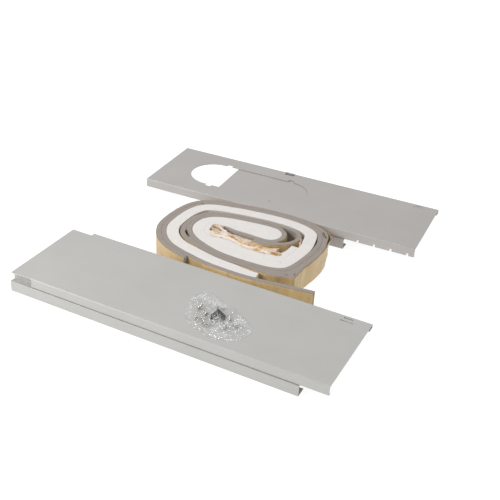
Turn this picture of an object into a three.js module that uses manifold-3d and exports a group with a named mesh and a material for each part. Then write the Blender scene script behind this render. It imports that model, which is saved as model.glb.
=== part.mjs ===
// Window slider kit for a portable air conditioner, laid out on a floor.
// Units are millimetres, +Z is up.  Everything is drawn in the front panel's own axes:
// u runs along the panel, v runs across it away from its far edge, z is height.
// At the end the whole kit is moved so the middle of its underside is the origin.
import * as THREE from 'three';
import { mergeVertices } from 'three/addons/utils/BufferGeometryUtils.js';
import Module from 'manifold-3d';

const wasm = await Module();
wasm.setup();

// ---- Driving sizes --------------------------------------------------------------------
const PANEL_W = 200;            // width of every panel across the slide
const SHEET = 1.8;              // wall of the moulded panels
const UPPER_TOP = 42.5;         // top face of the two sliding upper panels
const LOWER_TOP = 40.3;         // top face of the two lower panels they slide on
const RAIL_TOP = 22.6;          // top of the rail ledge on the lower panels
const RAIL_OUT = 4.5;           // how far that rail stands out past the upper panel
const LEG_AT = 17.2;            // far leg of a lower panel, in from the far edge

const FRONT_NEAR = -202.5;      // near edge of the front pair; the rear pair's is at -PANEL_W
const FRONT_LOWER = [0, 608];   // start and end along u
const FRONT_UPPER = [49, 660.7];
const REAR_LOWER = [162, 490];
const REAR_UPPER = [0, 643.4];
const REAR_AT = [-6.4, 469.3];  // where the rear pair's far left corner lies
const REAR_TURN = 2.31;         // degrees, the rear pair lies slightly askew

const HOLE = { left: 69.5, right: 359, mid: -97.8, radius: 55 };   // hose opening
const HOLE_NOTCH = { width: 15, depth: 7.4, at: [138, 299] };      // bayonet notches

const FOAM_H = 50;              // width of the foam strips, standing on edge
const GREY_T = 9.8;             // adhesive foam strips
const WHITE_T = 25.4;           // plain foam strip
const PAPER_T = 0.4;            // release paper on the adhesive strips
const GAP = 0.3;                // running clearance between layers of the roll

const FILM = 0.5;               // wall of the parts bag
const BAG_MID = [410, -128];    // middle of the bag on the front upper panel
const BAG_RISE = 15.5;          // how far its middle stands above its rim

// ---- Small helpers --------------------------------------------------------------------
const group = new THREE.Group();
group.name = 'window_slider_kit';

function solidOf(geometry) {
  const g = geometry.clone();
  g.deleteAttribute('normal');
  g.deleteAttribute('uv');
  const m = mergeVertices(g, 1e-4);
  return new wasm.Manifold(new wasm.Mesh({
    numProp: 3,
    vertProperties: new Float32Array(m.attributes.position.array),
    triVerts: new Uint32Array(m.index.array),
  }));
}

function geometryOf(solid) {
  const mesh = solid.getMesh();
  const g = new THREE.BufferGeometry();
  const xyz = new Float32Array(mesh.numVert * 3);
  for (let i = 0; i < mesh.numVert; i++) {
    for (let k = 0; k < 3; k++) xyz[3 * i + k] = mesh.vertProperties[mesh.numProp * i + k];
  }
  g.setAttribute('position', new THREE.BufferAttribute(xyz, 3));
  g.setIndex(new THREE.BufferAttribute(new Uint32Array(mesh.triVerts), 1));
  g.computeVertexNormals();
  return g;
}

function place(name, solid, colour, roughness = 0.6, metalness = 0, extra = {}) {
  const material = new THREE.MeshStandardMaterial({ color: colour, roughness, metalness, ...extra });
  const mesh = new THREE.Mesh(geometryOf(solid), material);
  mesh.name = name;
  group.add(mesh);
}

function block(u0, u1, v0, v1, z0, z1) {
  const g = new THREE.BoxGeometry(u1 - u0, v1 - v0, z1 - z0);
  g.translate((u0 + u1) / 2, (v0 + v1) / 2, (z0 + z1) / 2);
  return solidOf(g);
}

function prism(outline, z0, z1) {          // outline in u,v pulled up from z0 to z1
  const shape = new THREE.Shape(outline.map(([u, v]) => new THREE.Vector2(u, v)));
  const g = new THREE.ExtrudeGeometry(shape, { depth: z1 - z0, bevelEnabled: false });
  g.translate(0, 0, z0);
  return solidOf(g);
}

function rail(section, [u0, u1]) {         // section in v,z pulled along u
  const shape = new THREE.Shape(section.map(([v, z]) => new THREE.Vector2(v, z)));
  const g = new THREE.ExtrudeGeometry(shape, { depth: u1 - u0, bevelEnabled: false });
  g.applyMatrix4(new THREE.Matrix4().set(0, 0, 1, u0, 1, 0, 0, 0, 0, 1, 0, 0, 0, 0, 0, 1));
  return solidOf(g);
}

function corner(v, z, r, from, to, steps = 5) {   // round corner as a run of points
  return Array.from({ length: steps + 1 }, (_, i) => {
    const a = THREE.MathUtils.degToRad(from + (to - from) * i / steps);
    return [v + r * Math.cos(a), z + r * Math.sin(a)];
  });
}

// ---- Panels ---------------------------------------------------------------------------
// Upper panel: flat sheet, a flange down the near edge with a small hooked lip, and a
// C-shaped far edge that hooks round the far edge of the lower panel.
function upperSection(flangeBottom, near) {
  const top = UPPER_TOP, under = UPPER_TOP - SHEET;
  return [
    [near, flangeBottom], [near + 5.2, flangeBottom], [near + 5.2, flangeBottom + 1.5],
    [near + SHEET, flangeBottom + 1.5], [near + SHEET, under],
    [-SHEET, under], [-SHEET, 35.6], [-15, 35.6], [-15, 34],
    ...corner(-1.2, 35.2, 1.2, 270, 360, 3),
    ...corner(-2, top - 2, 2, 0, 90),
    ...corner(near + 3.2, top - 3.2, 3.2, 90, 180),
  ];
}

// Lower panel: sheet, a wall set in from the near edge, a ledge out to the rail, the rail's
// outer web with a lip turned in along the floor, and a plain leg and foot at the far side.
function lowerSection(near) {
  const web = -PANEL_W - RAIL_OUT, wall = -192.6, under = LOWER_TOP - SHEET;
  const edge = near + SHEET + 0.4;
  return [
    ...corner(edge + 1, LOWER_TOP - 1, 1, 180, 90, 3),
    ...corner(-7.6, LOWER_TOP - 1, 1, 90, 0, 3),
    [-6.6, under], [-LEG_AT, under], [-LEG_AT, 0], [-34, 0], [-34, 1.6],
    [-LEG_AT - SHEET, 1.6], [-LEG_AT - SHEET, under],
    [wall + SHEET, under], [wall + SHEET, RAIL_TOP - 1.6], [web + 1.6, RAIL_TOP - 1.6],
    [web + 1.6, 1.6], [-182, 1.6], [-182, 0],
    ...corner(web + 1, 1, 1, 270, 180, 3),
    ...corner(web + 1, RAIL_TOP - 1, 1, 180, 90, 3),
    [wall, RAIL_TOP], [wall, under], [edge, under],
  ].reverse();
}

function slots(list) {                      // thin slots through the top sheet
  return list.map(([u0, u1, v]) => block(u0, u1, v - 1.6, v + 1.6, UPPER_TOP - SHEET - 1, UPPER_TOP + 1))
    .reduce((a, b) => a.add(b));
}

const panelColour = '#bdbbb5';
place('front_lower_panel', rail(lowerSection(FRONT_NEAR), FRONT_LOWER), panelColour, 0.55);
place('front_upper_panel',
  rail(upperSection(24, FRONT_NEAR), FRONT_UPPER).subtract(slots([[604, 630, -18], [608, 626, -8.5]])),
  panelColour, 0.55);

// Hose opening: a long round-ended slot with four bayonet notches.
function hoseOpening() {
  const { left, right, mid, radius } = HOLE;
  const outline = [
    ...corner(right - radius, mid, radius, -90, 90, 24),
    ...corner(left + radius, mid, radius, 90, 270, 24),
  ];
  let cut = prism(outline, UPPER_TOP - 10, UPPER_TOP + 5);
  for (const u of HOLE_NOTCH.at) {
    const half = HOLE_NOTCH.width / 2, reach = radius + HOLE_NOTCH.depth;
    const notch = [
      [u - half, mid - reach + 3], [u - half + 3, mid - reach], [u + half - 3, mid - reach],
      [u + half, mid - reach + 3], [u + half, mid + reach - 3], [u + half - 3, mid + reach],
      [u - half + 3, mid + reach], [u - half, mid + reach - 3],
    ];
    cut = cut.add(prism(notch, UPPER_TOP - 10, UPPER_TOP + 5));
  }
  return cut;
}

// Small window near the far edge that takes the latch clip, and the notches cut in the
// bottom of the near flange past the end of the lower panel.
const LATCH = { u: [271, 292], v: [-14, -4.6] };
const FLANGE_NOTCHES = Array.from({ length: 4 }, (_, i) => 519 + 36.6 * i);
let rearUpper = rail(upperSection(23, -PANEL_W), REAR_UPPER)
  .subtract(hoseOpening())
  .subtract(block(...LATCH.u, ...LATCH.v, UPPER_TOP - SHEET - 1, UPPER_TOP + 1))
  .subtract(slots([[588, 611, -15], [593, 608, -8.5]]));
for (const u of FLANGE_NOTCHES) {
  rearUpper = rearUpper.subtract(block(u - 2.5, u + 2.5, -PANEL_W - 1, -PANEL_W + 7, 22, 28.5));
}

// Latch clip: a low tab over the far edge of its window with a leg down through it.
const latchClip = block(LATCH.u[0] - 1, LATCH.u[1] + 1, -7.6, -2.6, UPPER_TOP + GAP, UPPER_TOP + 1.7)
  .add(block(LATCH.u[0] + 2, LATCH.u[1] - 2, -7.6, -6, LOWER_TOP + 0.7, UPPER_TOP + 1));

function toRear(solid) {
  return solid.rotate([0, 0, REAR_TURN]).translate([...REAR_AT, 0]);
}
place('rear_lower_panel', toRear(rail(lowerSection(-PANEL_W), REAR_LOWER)), '#b6b2ae', 0.55);
place('rear_upper_panel', toRear(rearUpper), '#b6b2ae', 0.55);
place('rear_latch_clip', toRear(latchClip), '#9ba0a2', 0.5);

// ---- Foam roll ------------------------------------------------------------------------
// Two grey strips lie face to face either side of this line, wound a turn and three
// quarters round a core; the plain white strip lies against their inner side.
const SPINE = [
  [366, 218], [345, 218.5], [301, 213.5], [257, 205.5], [235, 197.5], [216, 186], [205, 170],
  [199.5, 150], [199, 128], [203, 108], [213, 91.5], [230, 79], [254, 69], [286, 58.5],
  [316, 52], [350, 49.3], [380, 49.6], [405, 50.8], [428, 55], [445, 61.5], [457, 71],
  [463.5, 84], [467.5, 100], [471.5, 124], [475, 152], [475.5, 180], [473.5, 200],
  [467, 221], [458.5, 237], [447, 249], [431, 258], [410, 264.5], [385, 268], [354, 268.3],
  [316, 265.5], [272, 259], [233, 251], [204, 243], [184, 232.5], [169, 217], [159, 196],
  [153, 170], [151, 144], [151, 122], [153.5, 100], [161, 80], [172, 62.5], [188, 45.5],
  [207, 32.5], [232, 22.5], [263, 14.4], [286, 9], [316, 4.5], [350, 2.8], [380, 2.4],
  [405, 3.4], [416, 4.8], [440, 8.2], [475, 13.2], [505, 18], [533, 22],
];
const PER_POINT = 3;            // samples between two drawn points of a strip
const END_OF_OUTER = 50;        // spine points where the outer and the white strip stop
const END_OF_WHITE = 56;
const LAST = SPINE.length - 1;

function smooth(points, per = PER_POINT) {
  const curve = new THREE.CatmullRomCurve3(points.map(([u, v]) => new THREE.Vector3(u, v, 0)), false, 'centripetal');
  return curve.getPoints(per * (points.length - 1)).map((p) => [p.x, p.y]);
}

function sides(path) {                      // unit normal to the left of travel, per point
  return path.map((_, i) => {
    const a = path[Math.max(0, i - 1)], b = path[Math.min(path.length - 1, i + 1)];
    const du = b[0] - a[0], dv = b[1] - a[1], l = Math.hypot(du, dv);
    return [-dv / l, du / l];
  });
}

function shifted(path, d) {                 // d to the left, one number or one per point
  const n = sides(path);
  return path.map(([u, v], i) => {
    const by = Array.isArray(d) ? d[i] : d;
    return [u + by * n[i][0], v + by * n[i][1]];
  });
}

// A strip is two matching runs of points, its left and its right face.
function faces(path, thickness) {
  const half = Array.isArray(thickness) ? thickness.map((t) => t / 2) : thickness / 2;
  const other = Array.isArray(half) ? half.map((h) => -h) : -half;
  return { left: shifted(path, half), right: shifted(path, other) };
}

function joined(...runs) {
  return { left: runs.flatMap((r) => r.left), right: runs.flatMap((r) => r.right) };
}

function standing({ left, right }, z0 = 0, z1 = FOAM_H) {
  return prism([...right, ...[...left].reverse()], z0, z1);
}

// A value that changes along the spine, from a list of [spine point, value].
function along(list) {
  return (s) => {
    const k = list.findIndex(([at]) => at >= s);
    if (k <= 0) return k === 0 ? list[0][1] : list[list.length - 1][1];
    const [a, va] = list[k - 1], [b, vb] = list[k], x = (s - a) / (b - a);
    return va + (vb - va) * x * x * (3 - 2 * x);
  };
}

// The spine is wound outwards anticlockwise, so its left side faces the core.
const spine = smooth(SPINE), spineSides = sides(spine);
function beside(from, to, right, left) {    // right and left are distances by spine point
  const at = (i, d) => spine[i].map((c, k) => c + d(i / PER_POINT) * spineSides[i][k]);
  const list = Array.from({ length: Math.round((to - from) * PER_POINT) + 1 }, (_, i) => Math.round(from * PER_POINT) + i);
  return { left: list.map((i) => at(i, left)), right: list.map((i) => at(i, right)) };
}

// Where the layers part a little, and where foam is bunched up or squeezed.
const innerLoose = along([[7.5, 0], [10, 5], [13, 0]]);
const outerLoose = along([[26.3, 0], [27.8, 3.2], [29.4, 0]]);
const whiteLoose = along([[24, 0], [26, 3.2], [28, 0]]);
const outerBunched = along([
  [16, 0], [19, 9.5], [19.6, 12.5], [20, 17.5], [20.4, 11.5], [21, 6.8], [22, 3], [25, 2.2], [26.5, 0],
]);
const whiteThick = along([[51, WHITE_T], [52, 24], [53, 23.2], [54, 21], [55, 18], [56, 16.5]]);
const secondThick = along([
  [0, WHITE_T], [1, WHITE_T], [2, 20.5], [3, 9.5], [4, 7], [5, 7], [6, 9], [7, 10.5],
  [8, 11.5], [9, 12.5], [10, 14], [11, 16], [12, 20], [13, 24], [14, WHITE_T],
]);

const innerNear = (s) => GAP / 2 + PAPER_T + GAP + innerLoose(s);
const innerFar = (s) => innerNear(s) + GREY_T;
const outerNear = (s) => -GAP / 2 - outerLoose(s);
const outerFar = (s) => outerNear(s) - GREY_T - outerBunched(s);
const whiteNear = (s) => innerFar(s) + GAP + whiteLoose(s);
const whiteFar = (s) => whiteNear(s) + whiteThick(s);
const secondNear = (s) => whiteFar(s) + GAP;
const secondFar = (s) => secondNear(s) + secondThick(s);

// The white strip folds back on itself round the right end of a tongue in the core.
const FOLD_U = 363.5, FOLD_V = SPINE[0][1] - (whiteFar(0) + GAP / 2);
const arc = (r, from, to, steps) => corner(FOLD_U, FOLD_V, r, from, to, steps);

// The inner grey strip starts at the tongue's underside, squeezed to an edge, and hooks
// round its right end.  The outer grey strip starts under that hook and curls clear of it.
const hookR = WHITE_T + GAP / 2 + GAP + GREY_T / 2;
const hookStart = smooth([[268, 157.2], [281, 153.4], [296, 151], [318, FOLD_V - hookR], [345, FOLD_V - hookR]]);
const hookPath = [...hookStart, ...arc(hookR, -90, 72, 14)];
const squeezed = hookPath.map(([u]) => GREY_T * Math.min(1, 0.3 + 0.7 * Math.max(0, u - 268) / 32));
const inner = joined(faces(hookPath, squeezed), beside(0.34, LAST, innerNear, innerFar));

const curlPath = smooth([
  [346, 139.4], [368, 139.5], [384, 144.2], [396, 151.3], [407, 160], [416, 171],
  [421.5, 182], [423.3, 194], [420.5, 206], [412, 216], [399, 221.6], [386, 223.2],
]);
const outer = joined(faces(curlPath, GREY_T), beside(0.34, END_OF_OUTER, outerFar, outerNear));

// Second layer of white from its end in the core back to the fold, then the first layer.
const secondEnd = smooth([[429.8, 161], [429.2, 140], [425.8, 122], [418.5, 109.5]]);
const secondEndThick = secondEnd.map((_, i) => 13 + 8 * (i / (secondEnd.length - 1)) ** 2);
const second = beside(0.34, 17, secondNear, secondFar);
const fold = { right: arc(WHITE_T, -85, 85, 12), left: arc(GAP / 2, -85, 85, 12) };
const white = joined(
  faces(secondEnd, secondEndThick),
  { left: second.right.reverse(), right: second.left.reverse() },
  fold,
  beside(0.34, END_OF_WHITE, whiteNear, whiteFar),
);

place('foam_strip_inner', standing(inner), '#968f88', 0.95);
place('foam_strip_outer', standing(outer), '#968f88', 0.95);
place('foam_strip_white', standing(white), '#e4e1de', 0.9);

// Release papers: one on the right face of each grey strip, and the length already peeled
// off the start of the inner strip, crumpled in the core.
const paper = (path) => standing(faces(path, PAPER_T), 0.6, FOAM_H - 0.6);
const skin = (run, from) => shifted(run.right, -(GAP + PAPER_T / 2)).slice(from);
const crumple = [
  [414, 131], [407, 126], [409, 120.5], [400, 116.5], [394, 128], [386, 116], [374, 126], [362, 115],
  [350, 125], [339, 117], [328, 129], [316, 120], [305, 131], [294, 124], [283, 136],
  [274, 126], [264, 132], [257, 141],
];
place('release_paper_inner', paper(skin(inner, PER_POINT * 4 + 1)), '#d8b888', 0.7);
place('release_paper_outer', paper(skin(outer, 0)), '#d8b888', 0.7);
place('release_paper_peeled', paper(smooth(crumple, 2)), '#d8b888', 0.7);

// ---- Parts bag ------------------------------------------------------------------------
// A clear film bag with an open mouth at its far left corner, over a bracket and screws.
const BAG_RIM = [
  [348, -70], [384, -82], [424, -90], [460, -112], [482, -144], [474, -170], [442, -186],
  [398, -181], [362, -160], [345, -112],
];
const BAG_FLOOR = UPPER_TOP + GAP;

function bagRim(turn) {                     // rim point at a share of the way round
  const loop = new THREE.CatmullRomCurve3(BAG_RIM.map(([u, v]) => new THREE.Vector3(u, v, 0)), true);
  const p = loop.getPoint(turn);
  return [p.x - BAG_MID[0], p.y - BAG_MID[1]];
}

function bagShape(share, lower, raise, rings, sectors) {
  // share shrinks the rim, lower drops the top film, raise lifts the bottom film
  const xyz = [], tri = [];
  const height = (r, t) => {
    const a = t * 2 * Math.PI;
    const crease = 0.9 * Math.sin(7 * a + 5 * r) + 0.7 * Math.sin(11 * a - 9 * r) + 0.5 * Math.sin(3 * a + 13 * r);
    return 2.6 + BAG_RISE * (1 - r * r) ** 0.8 + crease * Math.min(1, 4 * (1 - r)) * Math.min(1, 3 * r);
  };
  const base = BAG_FLOOR + raise;
  xyz.push(...BAG_MID, BAG_FLOOR + height(0, 0) - lower, ...BAG_MID, base);
  for (let i = 1; i <= rings; i++) {
    for (let j = 0; j < sectors; j++) {
      const r = i / rings, t = j / sectors, [du, dv] = bagRim(t);
      const u = BAG_MID[0] + du * r * share, v = BAG_MID[1] + dv * r * share;
      xyz.push(u, v, BAG_FLOOR + height(r * share, t) - lower, u, v, base);
    }
  }
  const at = (i, j, side) => (i === 0 ? side : 2 + 2 * ((i - 1) * sectors + (j % sectors)) + side);
  for (let j = 0; j < sectors; j++) {
    for (const side of [0, 1]) {
      const fan = [at(0, 0, side), at(1, j, side), at(1, j + 1, side)];
      tri.push(...(side ? fan : fan.reverse()));
      for (let i = 1; i < rings; i++) {
        const q = [at(i, j, side), at(i + 1, j, side), at(i + 1, j + 1, side), at(i, j + 1, side)];
        const face = [q[0], q[1], q[2], q[0], q[2], q[3]];
        tri.push(...(side ? face : face.reverse()));
      }
    }
    const a = at(rings, j, 0), b = at(rings, j + 1, 0), c = at(rings, j + 1, 1), d = at(rings, j, 1);
    tri.push(...[a, d, c, a, c, b].reverse());
  }
  return new wasm.Manifold(new wasm.Mesh({
    numProp: 3, vertProperties: new Float32Array(xyz), triVerts: new Uint32Array(tri),
  }));
}

const mouth = block(-14, 14, 30, 100, 0, 1.5).rotate([0, 0, 50])
  .translate([...BAG_MID, BAG_FLOOR + FILM]);
const bag = bagShape(1, 0, 0, 9, 40).subtract(bagShape(0.955, FILM + 0.1, FILM, 8, 40).add(mouth));
place('parts_bag', bag, '#e6e8e8', 0.15, 0, { transparent: true, opacity: 0.35 });

const INSIDE = BAG_FLOOR + FILM + GAP;      // contents rest here

// Lock bracket: two square legs at right angles with a screw hole in each, bend upwards.
const BRACKET = { leg: 19, width: 16, thick: 2, hole: 4.4, at: [413, -131], turn: 25.4 };
function lockBracket() {
  const { leg, width, thick, hole, at, turn } = BRACKET;
  const drill = solidOf(new THREE.CylinderGeometry(hole / 2, hole / 2, 12, 16));
  const flat = block(0, leg, -width / 2, width / 2, 0, thick)
    .subtract(drill.rotate([90, 0, 0]).translate([leg * 0.62, 0, 0]));
  const up = block(0, thick, -width / 2, width / 2, 0, leg)
    .subtract(drill.rotate([0, 0, 90]).translate([0, 0, leg * 0.62]));
  return flat.add(up).rotate([0, 135, 0]).rotate([0, 0, turn])
    .translate([...at, INSIDE + (leg + thick) * Math.SQRT1_2]);
}
place('lock_bracket', lockBracket(), '#4b4844', 0.4, 0.8);

// Self-tapping pan-head screws lying on their sides.
const SCREW = { head: 3.4, headH: 2.4, shank: 1.9, root: 1.45, length: 14 };
function screw() {
  const { head, headH, shank, root, length } = SCREW;
  const profile = [[0, 0], [head * 0.62, 0.3], [head, headH - 0.5], [head, headH], [shank, headH]];
  const turns = 5, pitch = (length - 4) / turns;
  for (let i = 0; i < turns; i++) {
    const x = headH + 1 + i * pitch;
    profile.push([root, x + 0.2], [shank, x + pitch / 2]);
  }
  profile.push([root, headH + length - 3], [0, headH + length]);
  const body = new THREE.LatheGeometry(profile.map(([r, x]) => new THREE.Vector2(r, x)), 12);
  const slot = block(-head * 0.5, head * 0.5, -1, 1, -0.5, 0.5).add(block(-0.5, 0.5, -1, 1, -head * 0.5, head * 0.5));
  return solidOf(body).subtract(slot).rotate([0, 0, -90]).translate([-(headH + length) / 2, 0, 0]);
}
const SCREWS = [                            // middle in u,v and heading in degrees
  [385, -151, 25], [386, -131, 145], [433, -123, 115], [437, -151, -30],
  [405, -161, 12], [404, -105, 10], [370, -118, 95], [454, -136, 65],
];
SCREWS.forEach(([u, v, turn], i) => {
  place(`screw_${i + 1}`, screw().rotate([0, 0, turn]).translate([u, v, INSIDE + SCREW.head]), '#8d8a85', 0.35, 0.9);
});

// ---- Move the middle of the kit's underside to the origin -----------------------------
const bounds = new THREE.Box3().setFromObject(group);
const middle = bounds.getCenter(new THREE.Vector3());
for (const mesh of group.children) mesh.geometry.translate(-middle.x, -middle.y, -bounds.min.z);

export default group;
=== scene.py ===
"""Looks of a window slider kit: two telescoping panel pairs, a roll of foam seal strips and a bag of small parts.

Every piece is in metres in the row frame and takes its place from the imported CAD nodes.
"""

import math

import bmesh
import bpy
import numpy as np
from mathutils import Matrix, Vector
from mathutils.bvhtree import BVHTree


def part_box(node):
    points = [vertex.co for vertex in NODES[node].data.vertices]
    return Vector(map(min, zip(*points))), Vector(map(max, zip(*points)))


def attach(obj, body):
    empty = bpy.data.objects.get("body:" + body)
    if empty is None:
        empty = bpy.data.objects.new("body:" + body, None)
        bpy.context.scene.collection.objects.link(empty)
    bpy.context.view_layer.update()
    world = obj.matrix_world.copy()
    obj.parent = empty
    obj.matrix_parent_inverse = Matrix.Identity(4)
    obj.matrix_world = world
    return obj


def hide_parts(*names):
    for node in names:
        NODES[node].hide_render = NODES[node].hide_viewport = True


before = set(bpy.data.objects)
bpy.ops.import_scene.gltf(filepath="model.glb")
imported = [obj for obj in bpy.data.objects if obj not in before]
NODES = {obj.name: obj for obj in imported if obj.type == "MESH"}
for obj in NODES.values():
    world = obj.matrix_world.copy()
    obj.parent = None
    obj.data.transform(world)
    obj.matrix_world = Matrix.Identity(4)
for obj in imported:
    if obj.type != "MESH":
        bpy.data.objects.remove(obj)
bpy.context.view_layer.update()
MM = 0.001
MID_HEIGHT = 25 * MM  # half the height of the foam strips
LINER = 0.24 * MM  # thickness of the release paper
PANEL_AXES = Vector((-0.32715, -0.145367, 0))  # the front panel's own far left corner, which the roll is drawn from


# ---- Camera, lights and floor -----------------------------------------------------------
def make_camera():
    data = bpy.data.cameras.new("camera")
    data.lens, data.sensor_width = 62.37, 36
    data.clip_start, data.clip_end = 0.05, 20
    camera = bpy.data.objects.new("camera", data)
    bpy.context.scene.collection.objects.link(camera)
    turn = (
        Matrix.Rotation(math.radians(25.41), 4, "Z")
        @ Matrix.Rotation(math.radians(90 - 31.14), 4, "X")
        @ Matrix.Rotation(math.radians(3.41), 4, "Z")
    )
    camera.matrix_world = Matrix.Translation((0.67415, -1.39817, 0.955)) @ turn
    bpy.context.scene.camera = camera


def area_light(name, at, aim, size, power):
    data = bpy.data.lights.new(name, "AREA")
    data.shape, data.size, data.size_y = "RECTANGLE", size[0], size[1]
    data.energy = power
    light = bpy.data.objects.new(name, data)
    light.location = at
    light.rotation_euler = (Vector(aim) - Vector(at)).to_track_quat("-Z", "Y").to_euler()
    bpy.context.scene.collection.objects.link(light)


def make_world(strength):
    world = bpy.data.worlds.new("studio")
    world.use_nodes = True
    world.node_tree.nodes["Background"].inputs["Color"].default_value = (1, 1, 1, 1)
    world.node_tree.nodes["Background"].inputs["Strength"].default_value = strength
    bpy.context.scene.world = world


def make_floor():
    bpy.ops.mesh.primitive_plane_add(size=12, location=(0, 0, -0.0004))
    floor = bpy.context.object
    floor.name = "floor"
    mat = bpy.data.materials.new("floor_white")
    mat.use_nodes = True
    shader = mat.node_tree.nodes["Principled BSDF"]
    shader.inputs["Base Color"].default_value = (0.3, 0.3, 0.3, 1)
    shader.inputs["Roughness"].default_value = 0.9
    shader.inputs["Specular IOR Level"].default_value = 0.0
    shader.inputs["Emission Color"].default_value = (1, 1, 1, 1)
    shader.inputs["Emission Strength"].default_value = 0.86
    floor.data.materials.append(mat)


# ---- Noise for shapes -------------------------------------------------------------------
def lumps(points, size, seed):
    """Smooth value noise from -1 to 1, with lumps of that size, at an n x 3 array of points."""
    q = np.asarray(points, float) / size + 13.7 * seed
    cell = np.floor(q).astype(np.int64)
    f = q - cell
    f = f * f * (3 - 2 * f)
    total = np.zeros(len(q))
    for step in np.ndindex(2, 2, 2):
        c = cell + step
        h = (c[:, 0] * 73856093) ^ (c[:, 1] * 19349663) ^ (c[:, 2] * 83492791)
        h = ((h ^ (h >> 13)) * 1274126177) & 0x7FFFFFFF
        total += np.prod(np.where(step, f, 1 - f), axis=1) * (h / 0x3FFFFFFF - 1)
    return total


def ramp(x, low, high):
    t = np.clip((np.asarray(x, float) - low) / (high - low), 0, 1)
    return t * t * (3 - 2 * t)


# ---- Materials --------------------------------------------------------------------------
class Paint:
    """A short way to write a node material around one Principled shader."""

    def __init__(self, name, **values):
        self.mat = bpy.data.materials.new(name)
        self.mat.use_nodes = True
        self.tree = self.mat.node_tree
        self.shader = self.tree.nodes["Principled BSDF"]
        self.where = self.tree.nodes.new("ShaderNodeTexCoord").outputs["Object"]
        for key, value in values.items():
            self.shader.inputs[key.replace("_", " ")].default_value = value

    def node(self, kind, **settings):
        made = self.tree.nodes.new(kind)
        for key, value in settings.items():
            setattr(made, key, value)
        return made

    def link(self, source, target):
        self.tree.links.new(source, target)

    def stretched(self, scale):
        made = self.node("ShaderNodeMapping")
        made.inputs["Scale"].default_value = scale
        self.link(self.where, made.inputs["Vector"])
        return made.outputs["Vector"]

    def noise(self, scale, detail=3.0, rough=0.55, at=None):
        made = self.node("ShaderNodeTexNoise")
        made.inputs["Scale"].default_value = scale
        made.inputs["Detail"].default_value = detail
        made.inputs["Roughness"].default_value = rough
        self.link(at or self.where, made.inputs["Vector"])
        return made.outputs["Fac"]

    def cells(self, scale, at=None, feature="F1"):
        made = self.node("ShaderNodeTexVoronoi", feature=feature)
        made.inputs["Scale"].default_value = scale
        self.link(at or self.where, made.inputs["Vector"])
        return made.outputs["Distance"]

    def spread(self, source, low, high, to_low, to_high):
        made = self.node("ShaderNodeMapRange")
        for key, value in zip(("From Min", "From Max", "To Min", "To Max"), (low, high, to_low, to_high)):
            made.inputs[key].default_value = value
        self.link(source, made.inputs["Value"])
        return made.outputs["Result"]

    def sum(self, a, b, operation="ADD"):
        made = self.node("ShaderNodeMath", operation=operation)
        for socket, value in zip(made.inputs, (a, b)):
            if isinstance(value, (int, float)):
                socket.default_value = value
            else:
                self.link(value, socket)
        return made.outputs[0]

    def colours(self, source, *stops):
        made = self.node("ShaderNodeValToRGB")
        band = made.color_ramp
        while len(band.elements) < len(stops):
            band.elements.new(0.5)
        for element, (at, colour) in zip(band.elements, stops):
            element.position, element.color = at, (*colour, 1)
        self.link(source, made.inputs["Fac"])
        return made.outputs["Color"]

    def set(self, key, source):
        self.link(source, self.shader.inputs[key])

    def bump(self, height, depth, strength=1.0):
        made = self.node("ShaderNodeBump")
        made.inputs["Distance"].default_value = depth
        made.inputs["Strength"].default_value = strength
        self.link(height, made.inputs["Height"])
        self.link(made.outputs["Normal"], self.shader.inputs["Normal"])


def shade(colour, by):
    return tuple(c * by for c in colour)


def moulded_plastic(name, colour):
    """Satin moulded plastic: fine spark-eroded grain, faint flow marks along the panel."""
    p = Paint(name, IOR=1.46)
    cloud = p.noise(9, 4)
    flow = p.noise(1.0, 3, at=p.stretched((4, 160, 160)))
    grain = p.noise(1700, 2)
    mixed = p.sum(p.sum(cloud, p.sum(flow, 0.35, "MULTIPLY")), p.sum(grain, 0.25, "MULTIPLY"))
    p.set("Base Color", p.colours(mixed, (0.55, shade(colour, 0.965)), (1.05, shade(colour, 1.03))))
    p.set("Roughness", p.spread(p.sum(flow, grain), 0.7, 1.3, 0.3, 0.42))
    p.bump(p.sum(grain, p.sum(p.cells(1300), 0.6, "MULTIPLY")), 0.00005, 0.5)
    return p.mat


def open_foam(name, colour):
    """Grey open-cell seal foam: pores half a millimetre across, a soft dusty look, with painted shade in the pores."""
    p = Paint(name, Roughness=0.95, Sheen_Weight=0.15, Sheen_Roughness=0.6)
    p.shader.inputs["Specular IOR Level"].default_value = 0.2
    pores = p.cells(1500)
    big = p.cells(620)
    cloud = p.noise(55, 4)
    mixed = p.sum(p.sum(p.sum(pores, 0.55, "MULTIPLY"), p.sum(big, 0.35, "MULTIPLY")), p.sum(cloud, 0.4, "MULTIPLY"))
    # Painted shade and light: the colour darkens at the pore centres, where the bump sinks, and lightens on the cell
    # walls between them; the cloud noise is the foam's own uneven tone.
    p.set("Base Color", p.colours(mixed, (0.2, shade(colour, 0.72)), (0.5, colour), (0.85, shade(colour, 1.12))))
    p.bump(p.sum(pores, p.sum(big, 0.8, "MULTIPLY")), 0.0005, 0.7)
    return p.mat


def closed_foam(name, colour):
    """White closed-cell foam: a fine skin of millimetre cells with soft dimples, painted slightly darker in the
    dimples as shade.
    """
    p = Paint(name, Roughness=0.72)
    p.shader.inputs["Specular IOR Level"].default_value = 0.3
    p.shader.inputs["Subsurface Weight"].default_value = 0.08
    p.shader.inputs["Subsurface Radius"].default_value = (0.004, 0.0035, 0.003)
    cell = p.cells(820)
    cloud = p.noise(38, 3)
    mixed = p.sum(p.sum(cell, 0.5, "MULTIPLY"), p.sum(cloud, 0.6, "MULTIPLY"))
    # Painted shade: the cell centres, where the bump sinks into dimples, come out a little darker; the cloud noise is
    # the foam's own uneven tone.
    p.set("Base Color", p.colours(mixed, (0.25, shade(colour, 0.95)), (0.7, colour)))
    p.bump(p.sum(cell, p.sum(p.noise(260, 3), 0.7, "MULTIPLY")), 0.00035, 0.5)
    return p.mat


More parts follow.
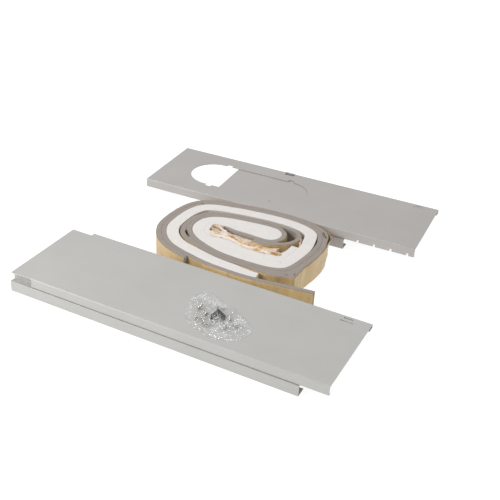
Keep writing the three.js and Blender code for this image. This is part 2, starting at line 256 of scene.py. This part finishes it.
def kraft_paper(name, colour):
    """Silicone-coated kraft release paper: fibres along the strip, waxy shine, creases painted darker in their valleys
    and lighter on their ridges.
    """
    p = Paint(name)
    p.shader.inputs["Coat Weight"].default_value = 0.25
    p.shader.inputs["Coat Roughness"].default_value = 0.35
    fibre = p.noise(1.0, 5, 0.65, at=p.stretched((230, 230, 1400)))
    blotch = p.noise(26, 4)
    fold = p.noise(1.0, 4, at=p.stretched((85, 85, 12)))
    # Painted shade and light: the fold streaks, which the bump also raises, darken the colour in their valleys and
    # lighten it on their ridges; blotch and fibre are the paper's own uneven tone.
    mixed = p.sum(p.sum(blotch, 0.5, "MULTIPLY"), p.sum(p.sum(fibre, 0.25, "MULTIPLY"), p.sum(fold, 0.35, "MULTIPLY")))
    stops = ((0.38, shade(colour, 0.72)), (0.54, colour), (0.72, tuple(min(1, c * 1.15 + 0.03) for c in colour)))
    p.set("Base Color", p.colours(mixed, *stops))
    p.set("Roughness", p.spread(p.sum(fibre, fold), 0.7, 1.3, 0.36, 0.62))
    p.bump(p.sum(p.sum(fibre, 0.35, "MULTIPLY"), fold), 0.0006, 0.35)
    return p.mat


def peeled_paper(name):
    """The same liner after peeling: a pale waxy side, with brown painted shade in its broken creases."""
    p = Paint(name, Roughness=0.5)
    p.shader.inputs["Coat Weight"].default_value = 0.2
    broad = p.noise(1.0, 4, 0.6, at=p.stretched((34, 70, 70)))
    fine = p.noise(190, 4, 0.6)
    mixed = p.sum(broad, p.sum(fine, 0.3, "MULTIPLY"))
    # Painted shade: the two darkest stops are the brown of shadow in folds and the third a half-lit tan; pale is the
    # paper's own beige. The noise scatters them, not following the sheet's folds.
    creases, edges, painted_fold_light, pale = (0.36, 0.17, 0.06), (0.6, 0.4, 0.2), (0.72, 0.6, 0.48), (0.76, 0.69, 0.63)
    p.set("Base Color", p.colours(mixed, (0.5, creases), (0.58, edges), (0.67, painted_fold_light), (0.8, pale)))
    p.bump(fine, 0.0005, 0.4)
    return p.mat


def clear_film(name):
    """Crinkled polythene film: a weak mirror that shows only where it glances, with highlights painted along its folds
    as milky white, and faint milky patches.
    """
    p = Paint(name, Metallic=1.0)
    p.shader.inputs["Base Color"].default_value = (0.97, 0.98, 0.98, 1)
    crinkle = p.noise(150, 5, 0.6)
    p.set("Roughness", p.spread(crinkle, 0.35, 0.65, 0.07, 0.17))
    glance = p.node("ShaderNodeFresnel")
    glance.inputs["IOR"].default_value = 1.5
    fold = p.spread(p.cells(95, feature="DISTANCE_TO_EDGE"), 0.0, 0.06, 1.0, 0.0)
    fine = p.spread(p.cells(260, feature="DISTANCE_TO_EDGE"), 0.0, 0.08, 1.0, 0.0)
    patch = p.spread(p.noise(24, 3), 0.46, 0.64, 0.0, 1.0)
    # Painted highlight: along the fold lines the film turns diffuse white and more opaque, standing in for light
    # glinting off crease ridges; patch strengthens this in places and adds a faint milky haze.
    painted_fold_light = p.sum(p.sum(p.sum(fold, 0.75, "MULTIPLY"), p.sum(fine, 0.5, "MULTIPLY")), p.sum(patch, 0.07), "MULTIPLY")
    fold_light_and_haze = p.sum(p.sum(painted_fold_light, 0.6, "MULTIPLY"), p.sum(patch, 0.03, "MULTIPLY"))
    p.set("Metallic", p.spread(fold_light_and_haze, 0.0, 0.3, 1.0, 0.0))
    p.set("Alpha", p.sum(p.spread(glance.outputs["Fac"], 0.04, 0.6, 0.02, 0.17), fold_light_and_haze))
    p.bump(p.sum(crinkle, p.sum(p.cells(210, feature="DISTANCE_TO_EDGE"), 1.5, "MULTIPLY")), 0.0012, 0.6)
    return p.mat


def steel(name, colour, rough, spots):
    """Pressed steel: brushed grain, plating blooms and handling marks."""
    p = Paint(name, Metallic=1.0)
    bloom = p.noise(spots, 5)
    grain = p.noise(1.0, 3, at=p.stretched((300, 2600, 2600)))
    p.set("Base Color", p.colours(bloom, (0.35, shade(colour, 0.7)), (0.55, colour), (0.72, shade(colour, 1.25))))
    p.set("Roughness", p.spread(p.sum(bloom, grain), 0.7, 1.3, rough - 0.09, rough + 0.14))
    p.bump(p.sum(grain, p.sum(bloom, 0.5, "MULTIPLY")), 0.00008, 0.5)
    return p.mat


# ---- Mesh helpers -----------------------------------------------------------------------
def piece(name, verts, polygons, body, material, nodes=()):
    mesh = bpy.data.meshes.new(name)
    mesh.from_pydata([tuple(v) for v in verts], [], polygons)
    mesh.validate()
    made = bpy.data.objects.new(name, mesh)
    bpy.context.scene.collection.objects.link(made)
    mesh.shade_smooth()
    return dressed(made, body, material, nodes)


def dressed(made, body, material, nodes):
    made.data.materials.clear()
    made.data.materials.append(material)
    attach(made, body)
    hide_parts(*nodes)
    return made


def tube(rings, caps=True, first=0):
    """Faces that join equal closed rings of points laid one after another, with end caps."""
    count, size = rings
    i = np.arange(count - 1)[:, None] * size + first
    j = np.arange(size)[None, :]
    k = (j + 1) % size
    quads = np.stack([i + j, i + k, i + size + k, i + size + j], -1).reshape(-1, 4).tolist()
    if caps:
        quads.append([first + n for n in range(size)][::-1])
        quads.append([first + (count - 1) * size + n for n in range(size)])
    return quads


def outward(made):
    """Turns every face of a closed piece outwards."""
    bm = bmesh.new()
    bm.from_mesh(made.data)
    bmesh.ops.recalc_face_normals(bm, faces=bm.faces)
    bm.to_mesh(made.data)
    bm.free()
    return made


def sheet(name, grid, thick, body, material, nodes=()):
    """A thin closed sheet lying along a grid of points."""
    normal = np.cross(np.gradient(grid, axis=0), np.gradient(grid, axis=1))
    normal /= np.linalg.norm(normal, axis=2)[..., None] + 1e-12
    rings = np.concatenate([grid + normal * thick / 2, (grid - normal * thick / 2)[:, ::-1]], 1)
    count, size = rings.shape[:2]
    caps = [(n, n + 1, size - 2 - n, size - 1 - n) for n in range(size // 2 - 1)]
    last = (count - 1) * size
    quads = tube((count, size), caps=False) + caps + [tuple(last + n for n in cap) for cap in caps]
    return outward(piece(name, rings.reshape(-1, 3), quads, body, material, nodes))


def bevelled(node, name, body, material, width):
    """The CAD solid with its hard edges rounded off, standing for the CAD node."""
    bm = bmesh.new()
    bm.from_mesh(NODES[node].data)
    bmesh.ops.remove_doubles(bm, verts=bm.verts, dist=2e-6)
    bmesh.ops.dissolve_limit(bm, angle_limit=math.radians(1), verts=bm.verts, edges=bm.edges)
    top = max(v.co.z for v in bm.verts) - 0.05 * MM
    hard = [e for e in bm.edges if len(e.link_faces) == 2 and e.calc_face_angle() > math.radians(35)]
    rim = [e for e in hard if e.calc_length() > 25 * MM and min(v.co.z for v in e.verts) > top]
    if rim:
        bmesh.ops.bevel(bm, geom=rim, offset=2.6 * width, segments=3, profile=0.5, affect="EDGES", clamp_overlap=True)
    hard = [e for e in bm.edges if len(e.link_faces) == 2 and e.calc_face_angle() > math.radians(35)]
    bmesh.ops.bevel(bm, geom=hard, offset=width, segments=2, profile=0.5, affect="EDGES", clamp_overlap=True)
    mesh = bpy.data.meshes.new(name)
    bm.to_mesh(mesh)
    bm.free()
    mesh.shade_smooth()
    made = bpy.data.objects.new(name, mesh)
    bpy.context.scene.collection.objects.link(made)
    mesh.set_sharp_from_angle(angle=math.radians(50))
    weigh = made.modifiers.new("even_shading", "WEIGHTED_NORMAL")
    weigh.keep_sharp = True
    return dressed(made, body, material, [node])


# ---- Strips standing on edge ------------------------------------------------------------
def top_runs(node):
    """The two long faces of a CAD strip as matching runs of points, from the outline of its top."""
    mesh = NODES[node].data
    co = np.empty(len(mesh.vertices) * 3)
    mesh.vertices.foreach_get("co", co)
    co = co.reshape(-1, 3)
    top = co[:, 2].max() - 1e-5
    key = {}
    index = [key.setdefault((round(x, 6), round(y, 6)), len(key)) if z > top else -1 for x, y, z in co]
    points = np.array(list(key))
    edges = set()
    for polygon in mesh.polygons:
        loop = [index[v] for v in polygon.vertices]
        if min(loop) >= 0:
            for a, b in zip(loop, loop[1:] + loop[:1]):
                if (b, a) in edges:
                    edges.remove((b, a))
                else:
                    edges.add((a, b))
    follow = dict(edges)
    start = min(follow)
    outline, at = [start], follow[start]
    while at != start:
        outline.append(at)
        at = follow[at]
    ring = points[outline]
    into, out = ring - np.roll(ring, 1, 0), np.roll(ring, -1, 0) - ring
    turn = np.arctan2(into[:, 0] * out[:, 1] - into[:, 1] * out[:, 0], (into * out).sum(1))
    ends = [i for i in range(len(ring)) if min(turn[i], turn[(i + 1) % len(ring)]) > math.radians(55)]
    if len(ends) != 2:
        raise ValueError(f"{node} has {len(ends)} ends")
    ring = np.roll(ring, -(ends[0] + 1), 0)
    cut = ends[1] - ends[0]
    a, b = ring[:cut], ring[cut:][::-1]
    if len(a) != len(b):
        raise ValueError(f"{node} has runs of {len(a)} and {len(b)} points")
    return a, b


def resampled(a, b, step):
    """Both runs drawn smoothly through their points at a steady step along the middle."""
    middle = (a + b) / 2
    t = np.concatenate([[0], np.cumsum(np.linalg.norm(np.diff(middle, axis=0), axis=1))])
    keep = np.concatenate([[True], np.diff(t) > 1e-7])
    a, b, t = a[keep], b[keep], t[keep]
    want = np.linspace(0, t[-1], max(2, int(t[-1] / step)) + 1)
    k = np.clip(np.searchsorted(t, want, side="right") - 1, 0, len(t) - 2)
    h = (t[k + 1] - t[k])[:, None]
    x = ((want - t[k]) / h[:, 0])[:, None]
    found = []
    for run in (a, b):
        slope = np.gradient(run, t, axis=0)
        found.append(
            (2 * x**3 - 3 * x**2 + 1) * run[k]
            + (x**3 - 2 * x**2 + x) * h * slope[k]
            + (3 * x**2 - 2 * x**3) * run[k + 1]
            + (x**3 - x**2) * h * slope[k + 1]
        )
    return found[0], found[1], want


def node_tree(nodes):
    """CAD nodes as one tree, to feel how near their faces are."""
    verts, polygons = [], []
    for node in nodes:
        mesh = NODES[node].data
        polygons += [[len(verts) + v for v in p.vertices] for p in mesh.polygons]
        verts += [v.co.copy() for v in mesh.vertices]
    return BVHTree.FromPolygons(verts, polygons)


def snug(tree, a, b, most):
    """Both faces of a coiled strip, moved out to meet the next layer where they almost touch."""
    unit = (b - a) / np.linalg.norm(b - a, axis=1)[:, None]
    moved = []
    for run, sign in ((a, -1), (b, 1)):
        gap = np.zeros(len(run))
        for i, (at, n) in enumerate(zip(run, sign * unit)):
            reach = tree.ray_cast((*(at + n * 0.1 * MM), MID_HEIGHT), (*n, 0), most)[3]
            gap[i] = 0 if reach is None else reach / 2 + 0.04 * MM
        moved.append(run + sign * unit * gap[:, None])
    return moved


def foam_strip(name, node, material, seed, close, step=1.7 * MM, edge=0.9 * MM, marks=(), columns=6):
    """A slit foam strip on edge, with soft cut corners and slightly uneven faces.

    marks are pits in its top, and close holds the layers it meets and the widest gap it swells to fill.
    """
    a, b, _ = resampled(*top_runs(node), step)
    a, b = snug(close[0], a, b, close[1])
    low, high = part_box(node)
    across = b - a
    thick = np.linalg.norm(across, axis=1)
    unit = across / np.maximum(thick, 1e-9)[:, None]
    r = np.minimum(edge, thick * 0.3)
    turn = np.linspace(0, math.pi / 2, 5)[1:-1]
    rows = np.linspace(0, 1, 12)
    ring = []  # share of the way across, inset in radii, height: share between the corners, and in radii
    ring += [(0, 0, v, 0) for v in rows]
    ring += [(0, 1 - math.cos(t), 1, math.sin(t)) for t in turn]
    ring += [(f, 1 - 2 * f, 1, 1) for f in np.linspace(0, 1, columns)]
    ring += [(1, math.cos(t) - 1, 1, math.sin(t)) for t in turn[::-1]]
    ring += [(1, 0, v, 0) for v in rows[::-1]]
    ring += [(1, math.cos(t) - 1, 0, -math.sin(t)) for t in turn]
    ring += [(f, 1 - 2 * f, 0, -1) for f in (1, 0.5, 0)]
    ring += [(0, 1 - math.cos(t), 0, -math.sin(t)) for t in turn[::-1]]
    ring = np.array(ring)
    share, inset, rise, over = (c[None, :, None] for c in ring.T)
    flat = a[:, None] * (1 - share) + b[:, None] * share + unit[:, None] * inset * r[:, None, None]
    floor, tall = low.z, high.z - low.z
    z = floor + r[:, None, None] + (tall - 2 * r[:, None, None]) * rise + over * r[:, None, None]
    verts = np.concatenate([flat, z], -1)
    spots = verts.reshape(-1, 3)
    top = ramp(spots[:, 2], floor + 0.75 * tall, floor + tall)
    spots[:, 2] += top * MM * (0.45 * lumps(spots, 0.030, seed) + 0.16 * lumps(spots, 0.0045, seed + 1))
    face = np.repeat(unit, len(ring), 0) * (MM * 0.11 * lumps(spots, 0.006, seed + 2))[:, None]
    spots[:, :2] += face
    for (u, v), reach, depth in marks:
        near = np.hypot(spots[:, 0] - u, spots[:, 1] - v)
        spots[:, 2] -= depth * top * np.exp(-((near / reach) ** 4))
    made = piece(name, spots, tube(verts.shape[:2]), "foam_roll", material, [node])
    outward(made)
    return made


def paper_strip(name, node, material, seed, tree, peel=()):
    """Release paper on a strip's face: it buckles and creases where nothing presses on it."""
    a, b, along = resampled(*top_runs(node), 1.3 * MM)
    middle = (a + b) / 2
    unit = (b - a) / np.linalg.norm(b - a, axis=1)[:, None]
    far = []
    for sign in (1, -1):
        hits = [tree.ray_cast((*m, MID_HEIGHT), (*(sign * n), 0), 0.02)[3] for m, n in zip(middle, unit)]
        far.append(np.array([0.02 if h is None else h for h in hits]))
    if far[0].mean() < far[1].mean():
        unit, far = -unit, far[::-1]
    free = ramp(far[0], 1.2 * MM, 9 * MM)
    free = np.convolve(np.pad(free, 6, "edge"), np.ones(13) / 13, "valid")
    heights = np.linspace(0.6 * MM, 49.0 * MM, 26)
    s, z = np.meshgrid(along, heights, indexing="ij")
    z = z - 0.9 * MM * (1 - free[:, None]) * ramp(z, 0.04, 0.0495)
    spots = np.stack([s.ravel(), np.zeros(s.size), z.ravel()], 1)
    out = 0.00032 * lumps(spots * (1, 1, 0.35), 0.012, seed) + 0.00022 * lumps(spots, 0.005, seed + 1)
    out = out.reshape(s.shape)
    chance = np.random.default_rng(seed)
    at = 0.0
    while at < along[-1]:
        at += chance.uniform(0.022, 0.062)
        lean, high, wide = chance.normal(0, 0.16), chance.uniform(0.3, 1.25) * MM, chance.uniform(1.1, 2.4) * MM
        out += high * np.maximum(0, 1 - np.abs(s - at - lean * (z - MID_HEIGHT)) / wide)
    out = out * free[:, None] + 0.00006
    for (u, v), reach, by in peel:
        near = np.exp(-((np.hypot(middle[:, 0] - u, middle[:, 1] - v) / reach) ** 2))
        out += by * near[:, None] * ramp(z, 0.022, 0.05) ** 1.5
    limit = np.maximum(far[0] - 0.35 * MM, 0.05 * MM)
    limit = np.where(far[0] > 0.019, 0.02, limit)
    out = np.minimum(out, limit[:, None])
    rough = lumps(np.stack([along, along * 0, along * 0], 1), 0.004, seed + 3) * 0.00018
    z = z + rough[:, None] * ramp(z, 0.03, 0.0496)
    grid = np.concatenate([middle[:, None] + unit[:, None] * out[..., None], z[..., None]], -1)
    return sheet(name, grid, LINER, "foam_roll", material, [node])


def from_panel(u, v):
    """A point given in millimetres along and across the front panel, as metres in the row frame."""
    return (u * MM + PANEL_AXES.x, v * MM + PANEL_AXES.y)


def crumpled_liner(node, material, seed, tree):
    """Liner peeled off the foam: ridges lying over the core, its far edge sunk in the gap there."""
    low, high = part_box(node)
    filled = np.array([v.co[:2] for v in NODES[node].data.vertices])
    u = np.linspace(from_panel(257, 0)[0], from_panel(420, 0)[0], 190)
    weight = np.exp(-(((u[:, None] - filled[None, :, 0]) / (6 * MM)) ** 2)) + 1e-12
    inside = (weight * filled[None, :, 1]).sum(1) / weight.sum(1)
    wall = [tree.ray_cast((x, v, high.z - 6 * MM), (0, 1, 0), 30 * MM)[0] for x, v in zip(u, inside)]
    wall = np.array([v + 8 * MM if w is None else w.y for w, v in zip(wall, inside)]) - 0.7 * MM
    wall = np.minimum.reduce([np.roll(wall, k) for k in range(-3, 4)])
    stations = np.array([257, 270, 285, 300, 312, 330, 350, 385, 405, 420])
    near_edge = from_panel(0, np.array([114, 107, 111, 113, 111, 104, 101, 102, 107, 111]))[1]
    far_edge = from_panel(0, np.array([141, 140, 139, 137, 135, 133, 130, 128, 125, 119]))[1]
    at = from_panel(stations, 0)[0]
    near_edge, far_edge = np.interp(u, at, near_edge), np.interp(u, at, far_edge)
    centre, half = (near_edge + far_edge) / 2, (far_edge - near_edge) / 2
    line = np.stack([u, u * 0, u * 0], 1)
    sway = [lumps(line, 0.013, seed + k) for k in range(6)]
    near_edge = near_edge + 2.5 * MM * lumps(line, 0.009, seed + 7)
    down = ramp(u, low.x, low.x + 0.006) * (1 - ramp(u, high.x - 0.008, high.x))
    top = high.z + 0.9 * MM
    path = [
        (near_edge, top),
        (centre - half * (0.6 + 0.2 * sway[0]), top + MM * (2.4 + 2.2 * sway[1])),
        (centre - half * (0.2 + 0.2 * sway[2]), top + MM * (0.8 + 0.8 * sway[3])),
        (centre + half * (0.25 + 0.2 * sway[1]), top + MM * (2.4 + 2.4 * sway[4]) * (1 - 0.4 * down)),
        (centre + half * (0.75 + 0.12 * sway[5]), top + MM * (0.6 + 0.7 * sway[0] - 2.0 * down)),
        (wall * down + far_edge * (1 - down), top - MM * (5.6 - 1.2 * sway[1]) * down),
        (wall * down + (far_edge + MM) * (1 - down), top - 28 * MM * down),
    ]
    v = np.stack([p[0] for p in path], 1)
    z = np.stack([p[1] + 0 * u for p in path], 1)
    t = np.linspace(0, len(path) - 1, 60)
    k = np.minimum(t.astype(int), len(path) - 2)
    x = t - k
    x = x * x * (3 - 2 * x) * 0.45 + x * 0.55
    v, z = (a[:, k] * (1 - x) + a[:, k + 1] * x for a in (v, z))
    grid = np.stack([np.broadcast_to(u[:, None], v.shape), v, z], -1).copy()
    spots = grid.reshape(-1, 3)
    facets = creased(spots[:, :2], 0.011, 1.5 * MM, seed) + creased(spots[:, :2], 0.005, 0.6 * MM, seed + 1)
    spots[:, 2] += facets * ramp(spots[:, 2], top - 7 * MM, top - 2 * MM)
    sheet("liner_crumpled", grid, LINER, "foam_roll", material, [node])


def creased(points, cell, height, seed):
    """Flat facets that meet in sharp folds, as crumpled paper or film has: 0 in the folds, height inside."""
    chance = np.random.default_rng(seed)
    low, high = points.min(0) - cell, points.max(0) + cell
    seeds = chance.uniform(low, high, (int(np.prod((high - low) / cell)) + 3, 2))
    found = np.empty(len(points))
    for start in range(0, len(points), 4000):
        part = points[start : start + 4000]
        apart = np.sort(np.linalg.norm(part[:, None] - seeds[None], axis=2), axis=1)[:, :2]
        found[start : start + 4000] = np.minimum((apart[:, 1] - apart[:, 0]) / cell, 1)
    return found * height


def standing_ribbon(name, route, low, high, lean, material, seed):
    """A short end of liner standing on edge along a route through points given in panel millimetres."""
    points = np.array([from_panel(*p) for p in route])
    t = np.concatenate([[0], np.cumsum(np.linalg.norm(np.diff(points, axis=0), axis=1))])
    want = np.linspace(0, t[-1], 90)
    flat = np.stack([np.interp(want, t, points[:, n]) for n in (0, 1)], 1)
    for _ in range(3):
        flat = np.apply_along_axis(lambda a: np.convolve(np.pad(a, 4, "edge"), np.ones(9) / 9, "valid"), 0, flat)
    ahead = np.gradient(flat, axis=0)
    side = np.stack([ahead[:, 1], -ahead[:, 0]], 1) / (np.linalg.norm(ahead, axis=1)[:, None] + 1e-9)
    rise = np.linspace(0, 1, 12)
    line = np.stack([want, want * 0, want * 0], 1)
    tall = (high - low) * (1 + 0.25 * lumps(line, 0.012, seed))
    ends = ramp(want, 0, 0.006) * (1 - ramp(want, t[-1] - 0.006, t[-1]))
    tall = tall * (0.3 + 0.7 * ends)
    curl = (1 + 0.6 * lumps(line, 0.007, seed + 1))[:, None, None]
    xy = flat[:, None] + side[:, None] * (lean * rise[None, :, None] ** 1.5 * curl)
    z = low + tall[:, None] * rise[None]
    grid = np.concatenate([xy, z[..., None]], -1)
    grid += 0.0003 * lumps(grid.reshape(-1, 3), 0.003, seed + 2).reshape(*z.shape, 1)
    return sheet(name, grid, LINER, "foam_roll", material)


# ---- Bag and its contents ---------------------------------------------------------------
def surface_points(node):
    """Points spread over a CAD node's faces."""
    mesh = NODES[node].data
    co = np.array([v.co[:] for v in mesh.vertices])
    corners = np.array([p.vertices[:3] for p in mesh.polygons])
    steps = np.array([(i, j, 6 - i - j) for i in range(7) for j in range(7 - i)]) / 6
    return np.einsum("ks,nsc->nkc", steps, co[corners]).reshape(-1, 3)


def draped(points, low, step, shape, slope):
    """Heights of a film pulled over points, on a grid: it falls away from them at one slope."""
    field = np.zeros(shape)
    cell = np.rint((points[:, :2] - low) / step).astype(int)
    np.maximum.at(field, (cell[:, 0], cell[:, 1]), points[:, 2])
    for _ in range(50):
        for turn in ((1, 0), (-1, 0), (0, 1), (0, -1), (1, 1), (-1, 1), (1, -1), (-1, -1)):
            field = np.maximum(field, np.roll(field, turn, (0, 1)) - slope * step * math.hypot(*turn))
    return field


def film_bag(node, contents, material, seed):
    """A clear bag lying over its contents: creased film above, a flat sheet below, a sealed rim."""
    low, high = (np.array(c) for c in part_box(node))
    middle = (low + high)[:2] / 2
    shell = np.array([v.co[:2] for v in NODES[node].data.vertices]) - middle
    turn = np.linspace(-math.pi, math.pi, 301)[:-1]
    heading = np.arctan2(shell[:, 1], shell[:, 0])
    off = np.abs((turn[:, None] - heading[None] + math.pi) % (2 * math.pi) - math.pi)
    rim = np.where(off < 0.14, np.linalg.norm(shell, axis=1)[None], 0).max(1)
    rim = np.convolve(np.concatenate([rim[-6:], rim, rim[:6]]), np.ones(13) / 13, "valid")
    share = np.sin(np.linspace(0, math.pi / 2, 100)) ** 1.2
    flat = middle + share[:, None, None] * rim[None, :, None] * np.stack([np.cos(turn), np.sin(turn)], 1)[None]
    points = flat.reshape(-1, 2)
    step = MM
    corner = low[:2] - 4 * step
    shape = tuple(np.ceil((high[:2] - low[:2]) / step).astype(int) + 9)
    held = np.concatenate([surface_points(n) for n in contents])
    field = draped(held, corner, step, shape, 0.62)
    at = (points - corner) / step
    cell = np.clip(at.astype(int), 0, np.array(shape) - 2)
    f = at - cell
    taut = sum(
        field[cell[:, 0] + i, cell[:, 1] + j] * (f[:, 0] if i else 1 - f[:, 0]) * (f[:, 1] if j else 1 - f[:, 1])
        for i in (0, 1)
        for j in (0, 1)
    )
    inside = 1 - np.repeat(share, len(turn))
    fade = ramp(inside, 0.0, 0.16)
    folds = np.stack([points @ (0.8, 0.6), points @ (-0.6, 0.8) * 1.8], 1)
    rough = creased(folds, 0.026, 3.6 * MM, seed)
    rough = rough + creased(points, 0.012, 2.0 * MM, seed + 1) + creased(points, 0.0052, 0.9 * MM, seed + 2)
    floor = low[2] + 0.2 * MM
    loose = floor + (3.2 * MM + rough) * fade
    over = np.maximum(loose, taut + (0.5 * MM + 0.45 * rough) * fade)
    over = np.maximum(floor, np.where(fade < 1, floor + (over - floor) * fade, over))
    over = np.minimum(over, high[2] + 3 * MM)
    ripple = 0.0002 * np.sin(np.tile(turn, len(share)) * 90) * ramp(-inside, -0.07, -0.02)
    under = np.full(len(points), low[2] - 0.1 * MM)
    verts, quads = [], []
    size = len(turn)
    for z, flip in ((over + ripple + 0.3 * MM * (1 - fade), False), (under, True)):
        base = len(verts)
        verts += np.column_stack([points, z]).tolist()
        faces = [list(q) for q in tube((len(share), size), caps=False, first=base)]
        quads += [q[::-1] for q in faces] if flip else faces
    rim_a, rim_b = (len(share) - 1) * size, len(verts) - size
    quads += [[rim_a + n, rim_a + (n + 1) % size, rim_b + (n + 1) % size, rim_b + n] for n in range(size)]
    made = piece("bag_film", verts, quads, "bag", material, [node])
    bm = bmesh.new()
    bm.from_mesh(made.data)
    bmesh.ops.remove_doubles(bm, verts=bm.verts, dist=2e-6)
    bm.to_mesh(made.data)
    bm.free()
    return outward(made)


def pan_screw(node, material, roll):
    """A pan-head screw with a cross recess and a helical thread, laid along its CAD node."""
    co = np.array([v.co[:] for v in NODES[node].data.vertices])
    middle = co.mean(0)
    axis = np.linalg.svd(co - middle)[2][0]
    ahead = (co - middle) @ axis
    wide = np.linalg.norm(co - middle - ahead[:, None] * axis, axis=1)
    if ahead[wide.argmax()] < 0:
        axis, ahead = -axis, -ahead
    top = ahead.max()
    tips = np.abs(ahead - ahead.max()) < 1.5 * MM
    centre = co[tips].mean(0)
    centre = centre + axis * (top - (centre - middle) @ axis)
    length = top - ahead.min()
    side = np.cross(axis, (0, 0, 1))
    side /= np.linalg.norm(side)
    other = np.cross(axis, side)
    turn = np.linspace(0, 2 * math.pi, 49)[:-1]
    head, tall, crest, root, pitch, point = 3.3 * MM, 2.3 * MM, 1.85 * MM, 1.35 * MM, 1.3 * MM, 3.2 * MM
    rings = []
    for r in np.linspace(0.02, 1, 14) * head:
        x, y = r * np.cos(turn), r * np.sin(turn)
        arm = [
            np.clip((0.42 * MM - np.abs(b)) / (0.2 * MM) + 0.5, 0, 1)
            * np.clip((1.8 * MM - np.abs(a)) / (0.4 * MM) + 0.5, 0, 1)
            for a, b in ((x, y), (y, x))
        ]
        dome = 1.3 * MM * (1 - math.sqrt(max(0.0, 1 - (r / head) ** 2)))
        rings.append((x, y, -dome - 1.1 * MM * np.maximum(*arm)))
    for r, z in ((head, -1.6 * MM), (head * 0.985, -tall), (crest * 1.15, -tall), (root, -tall - 0.3 * MM)):
        rings.append((r * np.cos(turn), r * np.sin(turn), np.full(len(turn), -z if z > 0 else z)))
    for depth in np.arange(tall + 0.6 * MM, length, pitch / 7):
        phase = (depth / pitch + turn / (2 * math.pi)) % 1
        ridge = np.clip(1 - np.abs(phase - 0.5) * 3.2, 0, 1) * min(1, (depth - tall) / pitch / 1.5)
        taper = min(1, (length - depth) / point + 0.04)
        r = (root + (crest - root) * ridge) * taper
        rings.append((r * np.cos(turn), r * np.sin(turn), np.full(len(turn), -depth)))
    local = np.stack([np.stack(ring, 1) for ring in rings])
    x = local[..., 0] * math.cos(roll) - local[..., 1] * math.sin(roll)
    y = local[..., 0] * math.sin(roll) + local[..., 1] * math.cos(roll)
    verts = centre + x[..., None] * side + y[..., None] * other + local[..., 2:] * axis
    faces = tube(verts.shape[:2])
    made = piece(node + "_threaded", verts.reshape(-1, 3), faces, "bag", material, [node])
    made.data.set_sharp_from_angle(angle=math.radians(42))
    return outward(made)


# ---- Build: panels ----------------------------------------------------------------------
make_camera()
make_world(0.57)
area_light("key", (-1.2, -1.75, 1.5), (0, 0, 0), (1.3, 0.8), 24)
area_light("edge", (-1.14, -1.22, 1.05), (-0.2, -0.33, 0.04), (0.2, 0.2), 8)
area_light("spark", (0.5, 0.9, 1.3), (0.1, -0.25, 0), (0.14, 0.14), 2.5)
area_light("top", (-0.2, 0.4, 2.2), (0, 0, 0), (0.5, 0.5), 9)
make_floor()
bpy.context.scene.view_settings.view_transform = "Standard"

plastic_front = moulded_plastic("plastic_warm_grey", (0.435, 0.43, 0.41))
plastic_rear = moulded_plastic("plastic_warm_grey_rear", (0.405, 0.39, 0.375))
for node, body, slot, material in (
    ("front_lower_panel", "front_base", "front_panels", plastic_front),
    ("front_upper_panel", "front_slider", "front_panels", plastic_front),
    ("rear_lower_panel", "rear_base", "rear_panels", plastic_rear),
    ("rear_upper_panel", "rear_slider", "rear_panels", plastic_rear),
):
    bevelled(node, node + "_moulding", body, material, 0.35 * MM)
clip_plastic = moulded_plastic("plastic_blue_grey", (0.30, 0.32, 0.335))
bevelled("rear_latch_clip", "latch_clip_moulding", "rear_slider", clip_plastic, 0.25 * MM)

# ---- Build: foam roll -------------------------------------------------------------------
grey = open_foam("foam_grey", (0.285, 0.248, 0.218))
white = closed_foam("foam_white", (0.71, 0.68, 0.655))
tan = kraft_paper("kraft_release_paper", (0.55, 0.388, 0.178))
tan_peeled = peeled_paper("kraft_release_paper_creased")
greys = (node_tree(["foam_strip_inner", "foam_strip_outer"]), 5.0 * MM)
whites = (node_tree(["foam_strip_white"]), 11 * MM)
fold_pit = [(from_panel(179, 222), 2.4 * MM, 6 * MM)]
corner_pits = [(from_panel(461, 56), 1.9 * MM, 6 * MM), (from_panel(475, 65), 2.2 * MM, 4 * MM)]
slit = [(from_panel(459 + 2.6 * n, 246 - 3.4 * n), 1.8 * MM, 10 * MM / (1 + 0.25 * abs(n - 2.5))) for n in range(6)]
foam_strip("seal_strip_inner", "foam_strip_inner", grey, 11, greys, marks=fold_pit + slit)
foam_strip("seal_strip_outer", "foam_strip_outer", grey, 23, greys, marks=corner_pits + slit, columns=14)
foam_strip("seal_strip_white", "foam_strip_white", white, 37, whites, step=1.9 * MM, edge=0.6 * MM)
tree = node_tree(["foam_strip_inner", "foam_strip_outer", "foam_strip_white"])
paper_strip("release_liner_inner", "release_paper_inner", tan, 5, tree)
paper_strip("release_liner_outer", "release_paper_outer", tan, 8, tree, peel=[(from_panel(484, 232), 0.022, 5.5 * MM)])

crumpled_liner("release_paper_peeled", tan_peeled, 61, tree)
loops = [(292, 131), (281, 134), (270, 139), (260, 146), (252, 147), (248, 140), (250, 132), (257, 128)]
loops += [(265, 128), (273, 127), (279, 121), (276, 113), (268, 110), (261, 113), (260, 119), (265, 123)]
standing_ribbon("liner_loose_end", loops, 50.4 * MM, 56.5 * MM, 1.2 * MM, tan_peeled, 71)
flap = [(431, 199), (433, 190), (436, 180), (439, 171), (442, 163)]
standing_ribbon("liner_flap", flap, 47.5 * MM, 52.2 * MM, 3.0 * MM, tan_peeled, 77)

# ---- Build: bag of parts ----------------------------------------------------------------
screws = [f"screw_{n}" for n in range(1, 9)]
# The bracket is coloured near-black; this colour also paints in the shade that falls along its edges.
bracket_steel = steel("steel_near_black", (0.10, 0.098, 0.093), 0.34, 90)
screw_steel = steel("steel_bright_zinc", (0.62, 0.61, 0.58), 0.24, 160)
bevelled("lock_bracket", "lock_bracket_pressing", "bag", bracket_steel, 0.25 * MM)
for n, node in enumerate(screws):
    pan_screw(node, screw_steel, 0.5 + 1.3 * n)
film_bag("parts_bag", ["lock_bracket", *screws], clear_film("polythene_film"), 91)
